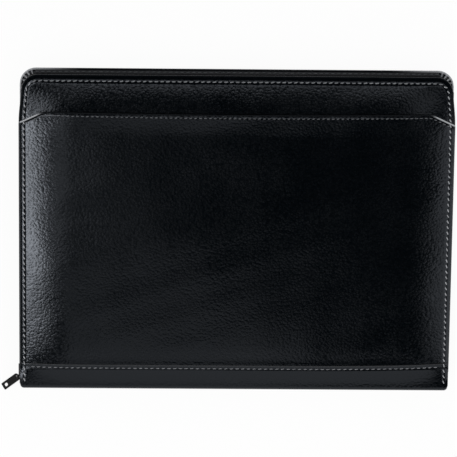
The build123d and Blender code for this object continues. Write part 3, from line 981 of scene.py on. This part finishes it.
# %% Path round the three open edges
def rim_path(step, start_y):
    """Path along left side, fore-edge and right side: points, outward directions and lengths.

    Outward turns by a quarter round each corner, and a point is the end of the straights run so far,
    plus the corner's radius times outward.
    """
    side = fore_y - corner_radius - start_y
    arc = corner_radius * np.pi / 2
    front = 2 * (half_length - corner_radius)
    total = 2 * side + 2 * arc + front
    run = np.linspace(0, total, int(round(total / step)) + 1)
    quarter = np.clip((run - side) / arc, 0, 1) + np.clip((run - side - arc - front) / arc, 0, 1)
    heading = np.pi - quarter * np.pi / 2
    outward = np.stack([np.cos(heading), np.sin(heading)], axis=1)
    x = -half_length + corner_radius + np.clip(run - side - arc, 0, front)
    y = start_y + np.clip(run, 0, side) - np.clip(run - side - 2 * arc - front, 0, side)
    return np.stack([x, y], axis=1) + corner_radius * outward, outward, run


tape_start_y = -123.5
path, outward, run = rim_path(step=1.4, start_y=tape_start_y)
print("zipper length", round(float(run[-1])), "mm")

# %% Zipper tapes
profile_inset = np.array([1.6, 2.4, 3.2, 3.8, 4.2, 4.4, 4.5, 4.5, 4.5, 4.5, 4.5])
profile_rise = np.array([0.5, 0.5, 0.5, 0.7, 1.2, 2.2, 3.6, 5.2, 6.8, 8.0, 9.0])
tape_half = 0.3
pleat_length = 3.1
pleat_depth = 0.45
corner_draw = 0.9
flange_end = 4.4
flange_painted_light = 0.20
flange_top = 1.6
flange_top_run = 1.0


def add_tape(name, node, body, base_z, direction):
    """Tape of one cover: the profile of insets and rises, moved along the path, pleated in the corners.

    A pleat is a sine of the length along the path, most at half the wall's height. Round the corners
    the flange draws in towards the wall.
    """
    in_corner = np.abs(outward[:, 0] * outward[:, 1]) * 2
    free = np.sin(np.pi * np.clip(profile_rise / profile_rise[-1], 0, 1))
    pleat = pleat_depth * (in_corner * np.sin(2 * np.pi * run / pleat_length))[:, None] * free
    to_wall = np.clip(flange_end - profile_inset, 0, None)
    drawn = corner_draw * smooth_step(2 * in_corner)[:, None] * to_wall
    sides = []
    for offset in (-tape_half, tape_half):
        inset, rise = moved_square(profile_inset, profile_rise, offset)
        place = path[:, None, :] - outward[:, None, :] * (inset + pleat + drawn)[..., None]
        sides.append(grid_points(place[..., 0], place[..., 1], base_z + direction * rise))
    if direction > 0:
        sides = [side[:, ::-1] for side in sides]
    points, faces, flat = closed_sheet(*sides, thin_rolls, rings=4)
    rise = direction * (points[:, 2] - base_z)
    # Painted light: the low flange of the tape is painted a lighter grey, so it reads as lit beside the
    # darker wall.
    flat[:, 2] = flange_painted_light * smooth_step((flange_top - rise) / flange_top_run)
    piece = add_piece(name, points, faces, tape_cloth, flat)
    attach(piece, body)
    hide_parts(node)
    return piece


add_tape("zipper_tape_lower", "zipper_tape_back", "back_cover", base_z=3.2, direction=1)
add_tape("zipper_tape_upper", "zipper_tape_front", "front_cover", base_z=22.8, direction=-1)

# %% [markdown]
# ## Zipper coil
# The real coil is a nylon spiral sewn on the tape's edge. A swept spiral could follow the path,
# but it would need many more faces. From here a turn looks like a small hooked loop, so one loop
# of a few dozen faces is repeated along the path, leaning as a wound spiral does.

# %% Coil rows
coil_pitch = 1.9
coil_start_y = -118.5
coil_inset = 4.5
loop_half_wide = np.array([0.42, 0.42, 0.50, 0.62, 0.40])
loop_half_deep = np.array([1.00, 1.15, 1.20, 1.05, 0.60])
loop_rise = np.array([-0.5, 0.3, 1.6, 2.5, 3.0])
loop_lean = 0.16
loop_corners = 8
corner_reach = 1.08


def tube_faces(rings, corners, count, turned=False):
    """Faces of equal tubes: rings of as many corners, joined by walls and closed by a cap at each end."""
    ring = np.arange(corners)
    ahead = (ring + 1) % corners
    band = np.stack([ring, ahead, ahead + corners, ring + corners], axis=1)
    wall = np.concatenate([band + corners * k for k in range(rings - 1)])
    caps = np.stack([ring[::-1], ring + corners * (rings - 1)])
    if turned:
        wall = wall[:, ::-1]
        caps = caps[:, ::-1]
    first = (np.arange(count) * rings * corners)[:, None, None]
    return (wall + first).reshape(-1, 4).tolist() + (caps + first).reshape(-1, corners).tolist()


def add_coil(name, node, body, base_z, direction, shift):
    """Row of coil loops: rings of eight points, widest at the head, at equal steps along the path."""
    path, outward, run = rim_path(coil_pitch, coil_start_y)
    along = np.stack([outward[:, 1], -outward[:, 0]], axis=1)
    centre = path - outward * coil_inset + along * shift
    angles = 2 * np.pi * (np.arange(loop_corners) + 0.5) / loop_corners
    wide = loop_half_wide[:, None] * np.cos(angles) * corner_reach
    a = (wide + loop_lean * loop_rise[:, None]).ravel()
    b = (loop_half_deep[:, None] * np.sin(angles) * corner_reach).ravel()
    rise = np.repeat(loop_rise, loop_corners)
    shifted = centre[:, None, :] + along[:, None, :] * a[None, :, None]
    place = shifted + outward[:, None, :] * b[None, :, None]
    points = grid_points(place[..., 0], place[..., 1], base_z + direction * rise).reshape(-1, 3)
    faces = tube_faces(len(loop_rise), loop_corners, len(centre), turned=direction > 0)
    piece = add_piece(name, points, faces, black_nylon)
    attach(piece, body)
    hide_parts(node)
    return piece


add_coil(
    "zipper_coil_lower", "zipper_teeth_back", "back_cover", base_z=10.7, direction=1, shift=0.0
)
add_coil(
    "zipper_coil_upper", "zipper_teeth_front", "front_cover",
    base_z=15.3, direction=-1, shift=coil_pitch / 2,
)

# %% [markdown]
# ## Pieces that keep their solids
# Slider, ring and pull are castings, and the boards and the backing card are plain sheets. Their
# solids already have the right form, so they only get their finish.

# %% Finishes of the kept solids
kept_solids = {
    "zipper_slider": black_lacquer,
    "zipper_ring": black_lacquer,
    "zipper_pull": black_lacquer,
    "back_board": grey_board,
    "spine_board": grey_board,
    "pad_backing": backing_card,
}
for node, finish in kept_solids.items():
    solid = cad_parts[node].data
    solid.materials.clear()
    solid.materials.append(finish)
print("metal, boards and backing card keep their solids")

# %% [markdown]
# ## Stitching
# A lockstitch shows as a row of short dashes whose ends dive into the leather. A texture could
# draw the dashes, but real ones stand up, catch the light and cast small shadows. One stitch is a
# thin capsule bent into an arch. It is worked out once for all the stitches of a row: the rows
# are points on the leather with a direction along the row and one out of the surface.

# %% A row of stitches
thread_width = 0.9
stitch_stations = np.array([-1.0, -0.7, 0.0, 0.7, 1.0])
stitch_thick = np.array([0.45, 0.9, 1.0, 0.9, 0.45])
stitch_arch = np.array([-0.30, 0.12, 0.30, 0.12, -0.30])
stitch_corners = 6
look_ahead = 0.4
stitch_lean = 0.12
side_lean = 0.33
lean_spread = 0.08
depth_spread = 0.05


def spaced_along(line, pitch):
    """Points at equal steps along a line of points, and the direction of the line there."""
    length = np.concatenate([[0], np.linalg.norm(np.diff(line, axis=0), axis=1).cumsum()])
    count = int(length[-1] / pitch)
    stops = (np.arange(count) + 0.5) * length[-1] / count
    behind, place, ahead = [
        np.stack([np.interp(stops + shift, length, line[:, k]) for k in range(3)], axis=1)
        for shift in (-look_ahead, 0, look_ahead)
    ]
    along = ahead - behind
    return place, along / np.linalg.norm(along, axis=1, keepdims=True)


def add_stitches(name, rows, body, pitch=4.5, dash=3.0, thread=thread_width, seed=1, finish=grey_thread):
    """Rows of stitches: each row is a line of points and the direction out of the leather.

    A stitch is five rings of six points: a ring's centre is the stitch's place, plus its station
    along the row, plus the arch out of the leather, and the stitch is turned a little by a seeded draw.
    """
    draws = np.random.default_rng(seed)
    ring = np.radians(np.arange(stitch_corners) * 360 / stitch_corners)
    stations = len(stitch_stations)
    station = (np.repeat(stitch_stations, stitch_corners) * dash / 2)[None, :, None]
    radius = np.repeat(stitch_thick, stitch_corners) * thread / 2
    lift = np.repeat(stitch_arch, stitch_corners) * thread + radius * np.tile(np.sin(ring), stations)
    spread = radius * np.tile(np.cos(ring), stations)
    all_points = []
    for line, out in rows:
        place, along = spaced_along(line, pitch)
        out = np.broadcast_to(np.asarray(out, float), along.shape)
        across = np.cross(out, along)
        yaw = draws.normal(stitch_lean + side_lean * np.abs(along[:, 1:2]), lean_spread)
        place = place - out * draws.normal(0, depth_spread, (len(place), 1))
        ahead = along * np.cos(yaw) + across * np.sin(yaw)
        aside = across * np.cos(yaw) - along * np.sin(yaw)
        all_points.append(
            place[:, None, :] + ahead[:, None, :] * station
            + out[:, None, :] * lift[None, :, None] + aside[:, None, :] * spread[None, :, None]
        )
    stitches = np.concatenate(all_points)
    faces = tube_faces(stations, stitch_corners, len(stitches))
    piece = add_piece(name, stitches.reshape(-1, 3), faces, finish, sharp_angle=80)
    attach(piece, body)
    return piece


# %% Stitches on the front cover
up = (0, 0, 1)
rim_sink = 0.12
mouth_sink = 0.25
band_sink = 0.20
rim_start_y = -122.4
fore_facing = 0.75


def cover_surface(x, y):
    """Top leather at a place on the front: band near the spine, then pocket, then cover."""
    on_band = np.where(y < seam_line(x), band_height(x, y), pocket_height(x, y))
    return np.where(y > mouth_line(x), leather_height(x, y), on_band)


path, outward, run = rim_path(step=1.0, start_y=rim_start_y)
fore_draw = outward * np.clip(outward[:, 1:], 0, 1) * (front_setback + fore_hem)
rim_x, rim_y = (path - outward * stitch_inset - fore_draw).T
rim_row = grid_points(narrowed(rim_x, rim_y), rim_y, cover_surface(rim_x, rim_y))
rim_row[:, 2] -= rim_sink * np.abs(outward[:, 1])
along_fore = np.flatnonzero(outward[:, 1] > fore_facing)
fore_row = rim_row[along_fore]
side_rows = [(rim_row[:along_fore[0] + 1], up), (rim_row[along_fore[-1]:], up)]
add_stitches("side_stitching", side_rows, "front_cover")
# The fore row's thread is painted darker, as painted shade.
add_stitches(
    "fore_stitching", [(fore_row, up)], "front_cover",
    dash=3.3, thread=1.0, seed=6, finish=painted_shade_thread,
)

across = np.linspace(-half_length + stitch_inset, half_length - stitch_inset, 300)
row_x = across[4:-4]
row_y = seam_line(row_x) - row_inset
band_row = grid_points(row_x, row_y, band_height(row_x, row_y) - band_sink)
# The band row's thread is painted darker, as painted shade.
add_stitches("band_stitching", [(band_row, up)], "front_cover", dash=3.2, seed=7, finish=painted_shade_thread)
row_y = mouth_line(across) - row_inset
mouth_row = grid_points(across, row_y, pocket_height(across, row_y) - mouth_sink)
# The mouth row's thread is painted darker still, as painted shade.
add_stitches(
    "mouth_stitching", [(mouth_row, up)], "front_cover",
    pitch=3.8, dash=2.7, thread=0.75, seed=5, finish=deep_shade_thread,
)

# %% Stitches on the back cover and the hems
down = (0, 0, -1)
back_sink = 0.78
hem_lift = 0.65
hem_thread = 0.7
straight_facing = 0.99
back_x, back_y = (path - outward * stitch_inset).T
back_row = grid_points(back_x, back_y, back_sink)
back_band_row = grid_points(across, band_seam_y - row_inset, back_sink)
add_stitches("back_stitching", [(back_row, down), (back_band_row, down)], "back_cover", seed=2)

hem_x, hem_y = (path - outward * hem_row_inset).T
hem_row = grid_points(hem_x, hem_y, cover_inner_back_z + hem_lift)
front_hem_row = grid_points(narrowed(hem_x, hem_y), hem_y, cover_inner_front_z - hem_lift)
facings = (-outward[:, 0], outward[:, 1], outward[:, 0])
straights = [facing > straight_facing for facing in facings]
hem_rows = [(hem_row[straight], up) for straight in straights]
front_hem_rows = [(front_hem_row[straight], down) for straight in straights]
# The back hem's thread is painted darker still, as painted shade.
add_stitches(
    "back_hem_stitching", hem_rows, "back_cover", thread=hem_thread, seed=4, finish=deep_shade_thread
)
add_stitches(
    "front_hem_stitching", front_hem_rows, "front_cover", thread=hem_thread, seed=3, finish=black_thread
)

# %% [markdown]
# ## Writing pad
# The pad is a stack of loose sheets glued at the head under a strip of cloth. Each sheet could be
# its own mesh, but only their edges show. The sheets never line up exactly, so the sides of one
# block are drawn in and out a little at each of a few layers.

# %% Paper block
layers = 15
outline_steps = 60
paper_corner = 2.0
sheet_shift = 0.35
shift_share = 0.8
shuffle_seed = 11


def box_corners(node):
    """Low and high corner of a node's box, in millimetres."""
    return [np.array(corner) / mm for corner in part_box(node)]


def rounded_outline(low, high, radius, count):
    """Closed outline of a rectangle with round corners: points and outward directions."""
    heading = np.linspace(0, 2 * np.pi, count, endpoint=False) + np.pi / count
    direction = np.stack([np.cos(heading), np.sin(heading)], axis=1)
    centre = np.where(direction > 0, high[:2] - radius, low[:2] + radius)
    return centre + direction * radius, direction


paper_low, paper_high = box_corners("pad_paper")
outline, away = rounded_outline(paper_low, paper_high, paper_corner, outline_steps)
shuffle = np.random.default_rng(shuffle_seed).uniform(-sheet_shift, 0.0, (layers, 2))
levels = np.linspace(paper_low[2], paper_high[2], layers)
place = outline[None] + shuffle[:, None, :] * np.sign(away)[None] * shift_share
points = grid_points(place[..., 0], place[..., 1], levels[:, None]).reshape(-1, 3)
faces = tube_faces(layers, outline_steps, 1)
paper = add_piece("pad_paper_block", points, faces, paper_edge, sharp_angle=30)
paper.data.materials.append(ruled_paper)
paper.data.polygons[-1].material_index = 1
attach(paper, "back_cover")
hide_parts("pad_paper")

# %% Head binding
binding_bend = 1.2
binding_thickness = 0.35
binding_foot = 0.3
tail_start = 2.0
binding_low, binding_high = box_corners("pad_binding")
binding_y = np.linspace(binding_low[1], binding_high[1], 40)
turn = np.radians(np.linspace(90, 180, 7))
head_x = binding_low[0] + binding_bend + binding_bend * np.cos(turn)
head_z = binding_high[2] - binding_bend + binding_bend * np.sin(turn)
lap_x = np.linspace(binding_high[0], binding_low[0] + binding_bend, 8)[:-1]
tail_z = np.linspace(binding_high[2] - tail_start, binding_low[2] + binding_foot, 4)
strip_x = np.concatenate([lap_x, head_x, np.full(len(tail_z), binding_low[0])])
strip_z = np.concatenate([np.full(len(lap_x), binding_high[2]), head_z, tail_z])
inner_x, inner_z = moved_square(strip_x, strip_z, -binding_thickness)
outer = grid_points(strip_x, binding_y[:, None], strip_z)
inner = grid_points(inner_x, binding_y[:, None], inner_z)
points, faces, flat = closed_sheet(outer[:, ::-1], inner[:, ::-1], thin_rolls)
binding = add_piece("pad_head_binding", points, faces, binding_cloth, flat)
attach(binding, "back_cover")
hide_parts("pad_binding")

# %% [markdown]
# ## Pockets and sleeve
# The slip pockets inside are single sheets of thin leather, sewn down on three sides. Each one
# stands a little off the lining, most at its open mouth, so it is a low pillow over its outline.
# A formula gives that swell without a simulation, and it stays clear of the pad.

# %% Slip pockets
pocket_edge = np.array([0.0, 1.0, 2.0, 3.0, 4.5, 7.0])
pocket_steps = 26
thin_sheet = 0.8
side_swell_run = 6.0
foot_swell_run = 8.0
sewn_inset = 1.8
sewn_lift = 0.05
pocket_thread = 0.6
slip_rolls = (0.3, 0.3, 0.3, 0.3)


def pocket_steps_between(low, high):
    """Steps from low to high: given ones near both ends and even ones between."""
    first = low + pocket_edge
    last = (high - pocket_edge)[::-1]
    return np.concatenate([first, np.linspace(first[-1], last[0], pocket_steps)[1:-1], last])


def add_slip_pocket(node, body, seat_z, rise, seed):
    """Pocket over the node's outline: sewn edges lie on the seat, and the sheet swells towards the mouth.

    Swell is the smooth step of the distance to the nearer side times that of the distance to the foot.
    """
    low, high = box_corners(node)
    x, y = np.meshgrid(pocket_steps_between(low[0], high[0]), pocket_steps_between(low[1], high[1]))
    sides = smooth_step(np.minimum(y - low[1], high[1] - y) / side_swell_run)
    swell = sides * smooth_step((high[0] - x) / foot_swell_run)
    outward = float(np.sign(rise))
    away = seat_z + outward * (thin_sheet + (abs(rise) - thin_sheet) * swell)
    grids = [grid_points(x, y, away), grid_points(x, y, away - outward * thin_sheet)]
    if rise < 0:
        grids = [grid[:, ::-1] for grid in grids]
    points, faces, flat = closed_sheet(*grids, slip_rolls)
    piece = add_piece(f"{node}_sheet", points, faces, pocket_leather, flat)
    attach(piece, body)
    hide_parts(node)
    foot = high[0] - sewn_inset
    near_y = low[1] + sewn_inset
    far_y = high[1] - sewn_inset
    thread_z = seat_z + outward * (thin_sheet + sewn_lift)
    corners = [(low[0], near_y), (foot, near_y), (foot, far_y), (low[0], far_y)]
    corners = [(*corner, thread_z) for corner in corners]
    rows = [(np.array(corners[k:k + 2]), (0, 0, outward)) for k in range(3)]
    add_stitches(f"{node}_stitching", rows, body, thread=pocket_thread, seed=seed)
    return piece


add_slip_pocket("pad_sleeve", "back_cover", seat_z=3.55, rise=1.6, seed=21)
add_slip_pocket("document_pocket", "front_cover", seat_z=22.45, rise=-1.3, seed=22)
add_slip_pocket("accessory_pocket", "front_cover", seat_z=22.45, rise=-1.3, seed=23)
add_slip_pocket("card_pocket_back", "front_cover", seat_z=22.45, rise=-1.3, seed=24)
add_slip_pocket("card_pocket_middle", "front_cover", seat_z=21.3, rise=-1.2, seed=25)
add_slip_pocket("card_pocket_front", "front_cover", seat_z=20.2, rise=-1.2, seed=26)

# %% [markdown]
# ## Pen loop
# A short piece of ribbed elastic is folded into a ring, and its ends are sewn under the lining.
# It is a circle carried along the case, closed as a sheet with two sides like the leather.

# %% Pen loop
elastic_thickness = 0.9
loop_low, loop_high = box_corners("pen_loop")
loop_x = np.linspace(loop_low[0], loop_high[0], 14)
loop_turn = np.radians(np.linspace(-90, 270, 41))
loop_y = (loop_low[1] + loop_high[1]) / 2
loop_outer = (loop_high[1] - loop_low[1]) / 2
loop_z = loop_high[2] - loop_outer


def loop_grid(radius):
    """Loop round the pen: a circle about the pen's axis, repeated at each x."""
    y = loop_y + radius * np.cos(loop_turn)
    z = loop_z + radius * np.sin(loop_turn)
    return grid_points(loop_x[:, None], y, z)


inside = loop_grid(loop_outer - elastic_thickness)
points, faces, flat = closed_sheet(loop_grid(loop_outer), inside, thin_rolls)
pen_loop = add_piece("pen_loop_elastic", points, faces, elastic_cloth, flat)
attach(pen_loop, "back_cover")
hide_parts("pen_loop")

# %% [markdown]
# ## End tacks
# At both ends of each tape a few stitches across it keep the slider from running off. They are
# made as the other stitches are, in three short rows that lie side by side.

# %% Zipper end tacks
tack_x = 166.7
tack_y = -123.2
tack_half = 1.6
tack_step = 0.35
for side, body, tack_z in (("back", "back_cover", 11.6), ("front", "front_cover", 14.4)):
    rows = []
    for middle_x in (-tack_x, tack_x):
        for row_y in tack_y + tack_step * np.arange(3):
            ends = [(middle_x - tack_half, row_y, tack_z), (middle_x + tack_half, row_y, tack_z)]
            rows.append((np.array(ends), up))
    tack = add_stitches(f"zipper_end_tacks_{side}", rows, body, pitch=2.6, dash=2.4, thread=0.6, seed=31)
    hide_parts(f"zipper_tacks_{side}")

# %% [markdown]
# ## Table and surroundings
# The case lies on a plain white table. Black leather shows whatever is above it, so the ceiling
# is dim and only the low surroundings are bright. One even background would lift the whole cover
# to grey, so the world's strength falls with height, and rays from the camera see plain white.

# %% Floor and world
floor_half = 6.0
floor_z = -0.0001
table_glow = 0.94
diffuse_fill = 0.65


def by_ray(tree, kinds):
    """1 where the ray is of one of these kinds, for a background that only those rays see."""
    rays = add_node(tree, "ShaderNodeLightPath").outputs
    total = rays[kinds[0]]
    for kind in kinds[1:]:
        total = add_node(tree, "ShaderNodeMath", (total, rays[kind]), operation="MAXIMUM").outputs[0]
    return total


floor_mesh = bpy.data.meshes.new("table")
floor_corners = [(-1, -1), (1, -1), (1, 1), (-1, 1)]
floor_points = [(a * floor_half, b * floor_half, floor_z) for a, b in floor_corners]
floor_mesh.from_pydata(floor_points, [], [(0, 1, 2, 3)])
floor = bpy.data.objects.new("table", floor_mesh)
bpy.context.scene.collection.objects.link(floor)
tree, shader, table_white = new_finish("matt_white_table", "#F4F4F4", 0.9, Specular_IOR_Level=0.1)
glow = add_node(tree, "ShaderNodeEmission", {"Color": (1, 1, 1, 1), "Strength": 1.0}).outputs[0]
seen = by_ray(tree, ("Is Camera Ray", "Is Glossy Ray", "Is Transmission Ray"))
share = add_node(tree, "ShaderNodeMath", (seen, table_glow), operation="MULTIPLY").outputs[0]
mixed = add_node(tree, "ShaderNodeMixShader", (share, shader.outputs[0], glow))
tree.links.new(mixed.outputs[0], tree.nodes["Material Output"].inputs["Surface"])
floor_mesh.materials.append(table_white)

world = bpy.data.worlds.new("studio")
bpy.context.scene.world = world
world.use_nodes = True
tree = world.node_tree
background = tree.nodes["Background"]
direction = add_node(tree, "ShaderNodeTexCoord").outputs["Generated"]
axes = add_node(tree, "ShaderNodeSeparateXYZ", (direction,)).outputs
ceiling = add_node(
    tree, "ShaderNodeMapRange",
    {"Value": axes["Z"], "From Min": 0.40, "From Max": 0.78, "To Min": 0.6, "To Max": 0.01},
).outputs[0]
away_from_camera = add_node(
    tree, "ShaderNodeMapRange",
    {"Value": axes["Y"], "From Min": 0.1, "From Max": 0.6, "To Min": 1.0, "To Max": 0.5},
).outputs[0]
diffuse = by_ray(tree, ("Is Diffuse Ray",))
sides = add_node(tree, "ShaderNodeMath", (ceiling, away_from_camera), operation="MULTIPLY").outputs[0]
fill = add_node(tree, "ShaderNodeMath", (diffuse, diffuse_fill), operation="MULTIPLY").outputs[0]
lit = add_node(tree, "ShaderNodeMath", (sides, fill), operation="MAXIMUM").outputs[0]
white = by_ray(tree, ("Is Camera Ray", "Is Transmission Ray"))
strength = add_node(tree, "ShaderNodeMath", (lit, white), operation="MAXIMUM").outputs[0]
tree.links.new(strength, background.inputs["Strength"])
background.inputs["Color"].default_value = (1, 1, 1, 1)
print("white table and a dim ceiling")

# %% [markdown]
# ## Lamps
# Nine soft lamps give the leather its highlights: four at the left for the bright shoulder, two
# at the right, and one each over the spine, the middle and the fore-edge. One large lamp would be
# simpler, but its mirror image would be a plain bright patch.

# %% Lamps
lamp_target = Vector((0, 0, 0.02))


def add_lamp(name, place, size, brightness):
    """Soft lamp that faces the case: its watts are pi times its area times its face's brightness."""
    data = bpy.data.lights.new(name, "AREA")
    data.shape = "RECTANGLE"
    data.size, data.size_y = size
    data.energy = math.pi * size[0] * size[1] * brightness
    lamp = bpy.data.objects.new(name, data)
    lamp.location = place
    lamp.rotation_euler = (lamp_target - Vector(place)).to_track_quat("-Z", "Y").to_euler()
    bpy.context.scene.collection.objects.link(lamp)
    return lamp


add_lamp("left_lamp", (-0.595, -0.275, 1.21), (0.30, 0.23), 7.2)
add_lamp("left_fore_lamp", (-0.48, 0.11, 1.21), (0.40, 0.28), 2.7)
add_lamp("left_middle_lamp", (-0.33, -0.29, 1.22), (0.10, 0.36), 0.85)
add_lamp("left_inner_lamp", (-0.17, -0.24, 1.22), (0.24, 0.26), 0.11)
add_lamp("right_lamp", (0.94, -0.40, 1.08), (0.45, 0.95), 0.88)
add_lamp("right_fore_lamp", (0.41, 0.09, 1.20), (0.26, 0.24), 0.5)
add_lamp("spine_lamp", (0.0, -0.95, 1.08), (1.60, 0.80), 0.58)
add_lamp("middle_lamp", (-0.06, -0.48, 1.22), (0.34, 0.20), 0.42)
add_lamp("fore_edge_lamp", (0.0, 0.28, 1.36), (1.00, 0.12), 1.4)
print(len(bpy.data.lights), "lamps")

# %% [markdown]
# ## Camera
# The camera looks down from the fore-edge side, about fourteen degrees off the vertical, through
# a long lens. Its place follows from three angles, the distance and the size of the picture, so
# each can be matched to the photograph on its own.

# %% Camera
image_pixels = 457
focal_pixels = 3296.09
camera_distance = 2.61595
tilt = math.radians(14.0)
sideways = math.radians(-1.043)
roll = math.radians(0.4139)
aim = Vector((0, 0, middle_z * mm))
picture_offset = (7.05, 1.70)

ahead_share = math.cos(sideways)
back = Vector((math.sin(sideways), ahead_share * math.sin(tilt), ahead_share * math.cos(tilt)))
level_right = (Vector((1, 0, 0)) - back * back.x).normalized()
level_up = back.cross(level_right)
right = level_right * math.cos(roll) + level_up * math.sin(roll)
upward = level_up * math.cos(roll) - level_right * math.sin(roll)
metres_per_pixel = camera_distance / focal_pixels
eye = aim + back * camera_distance
eye += (-right * picture_offset[0] + upward * picture_offset[1]) * metres_per_pixel
camera_data = bpy.data.cameras.new("photo_camera")
camera_data.sensor_width = 36.0
camera_data.lens = focal_pixels / image_pixels * camera_data.sensor_width
camera = bpy.data.objects.new("photo_camera", camera_data)
camera.matrix_world = Matrix((
    (right.x, upward.x, back.x, eye.x),
    (right.y, upward.y, back.y, eye.y),
    (right.z, upward.z, back.z, eye.z),
    (0, 0, 0, 1),
))
bpy.context.scene.collection.objects.link(camera)
bpy.context.scene.camera = camera
bpy.context.scene.view_settings.view_transform = "Standard"
print("lens", round(camera_data.lens, 1), "mm")
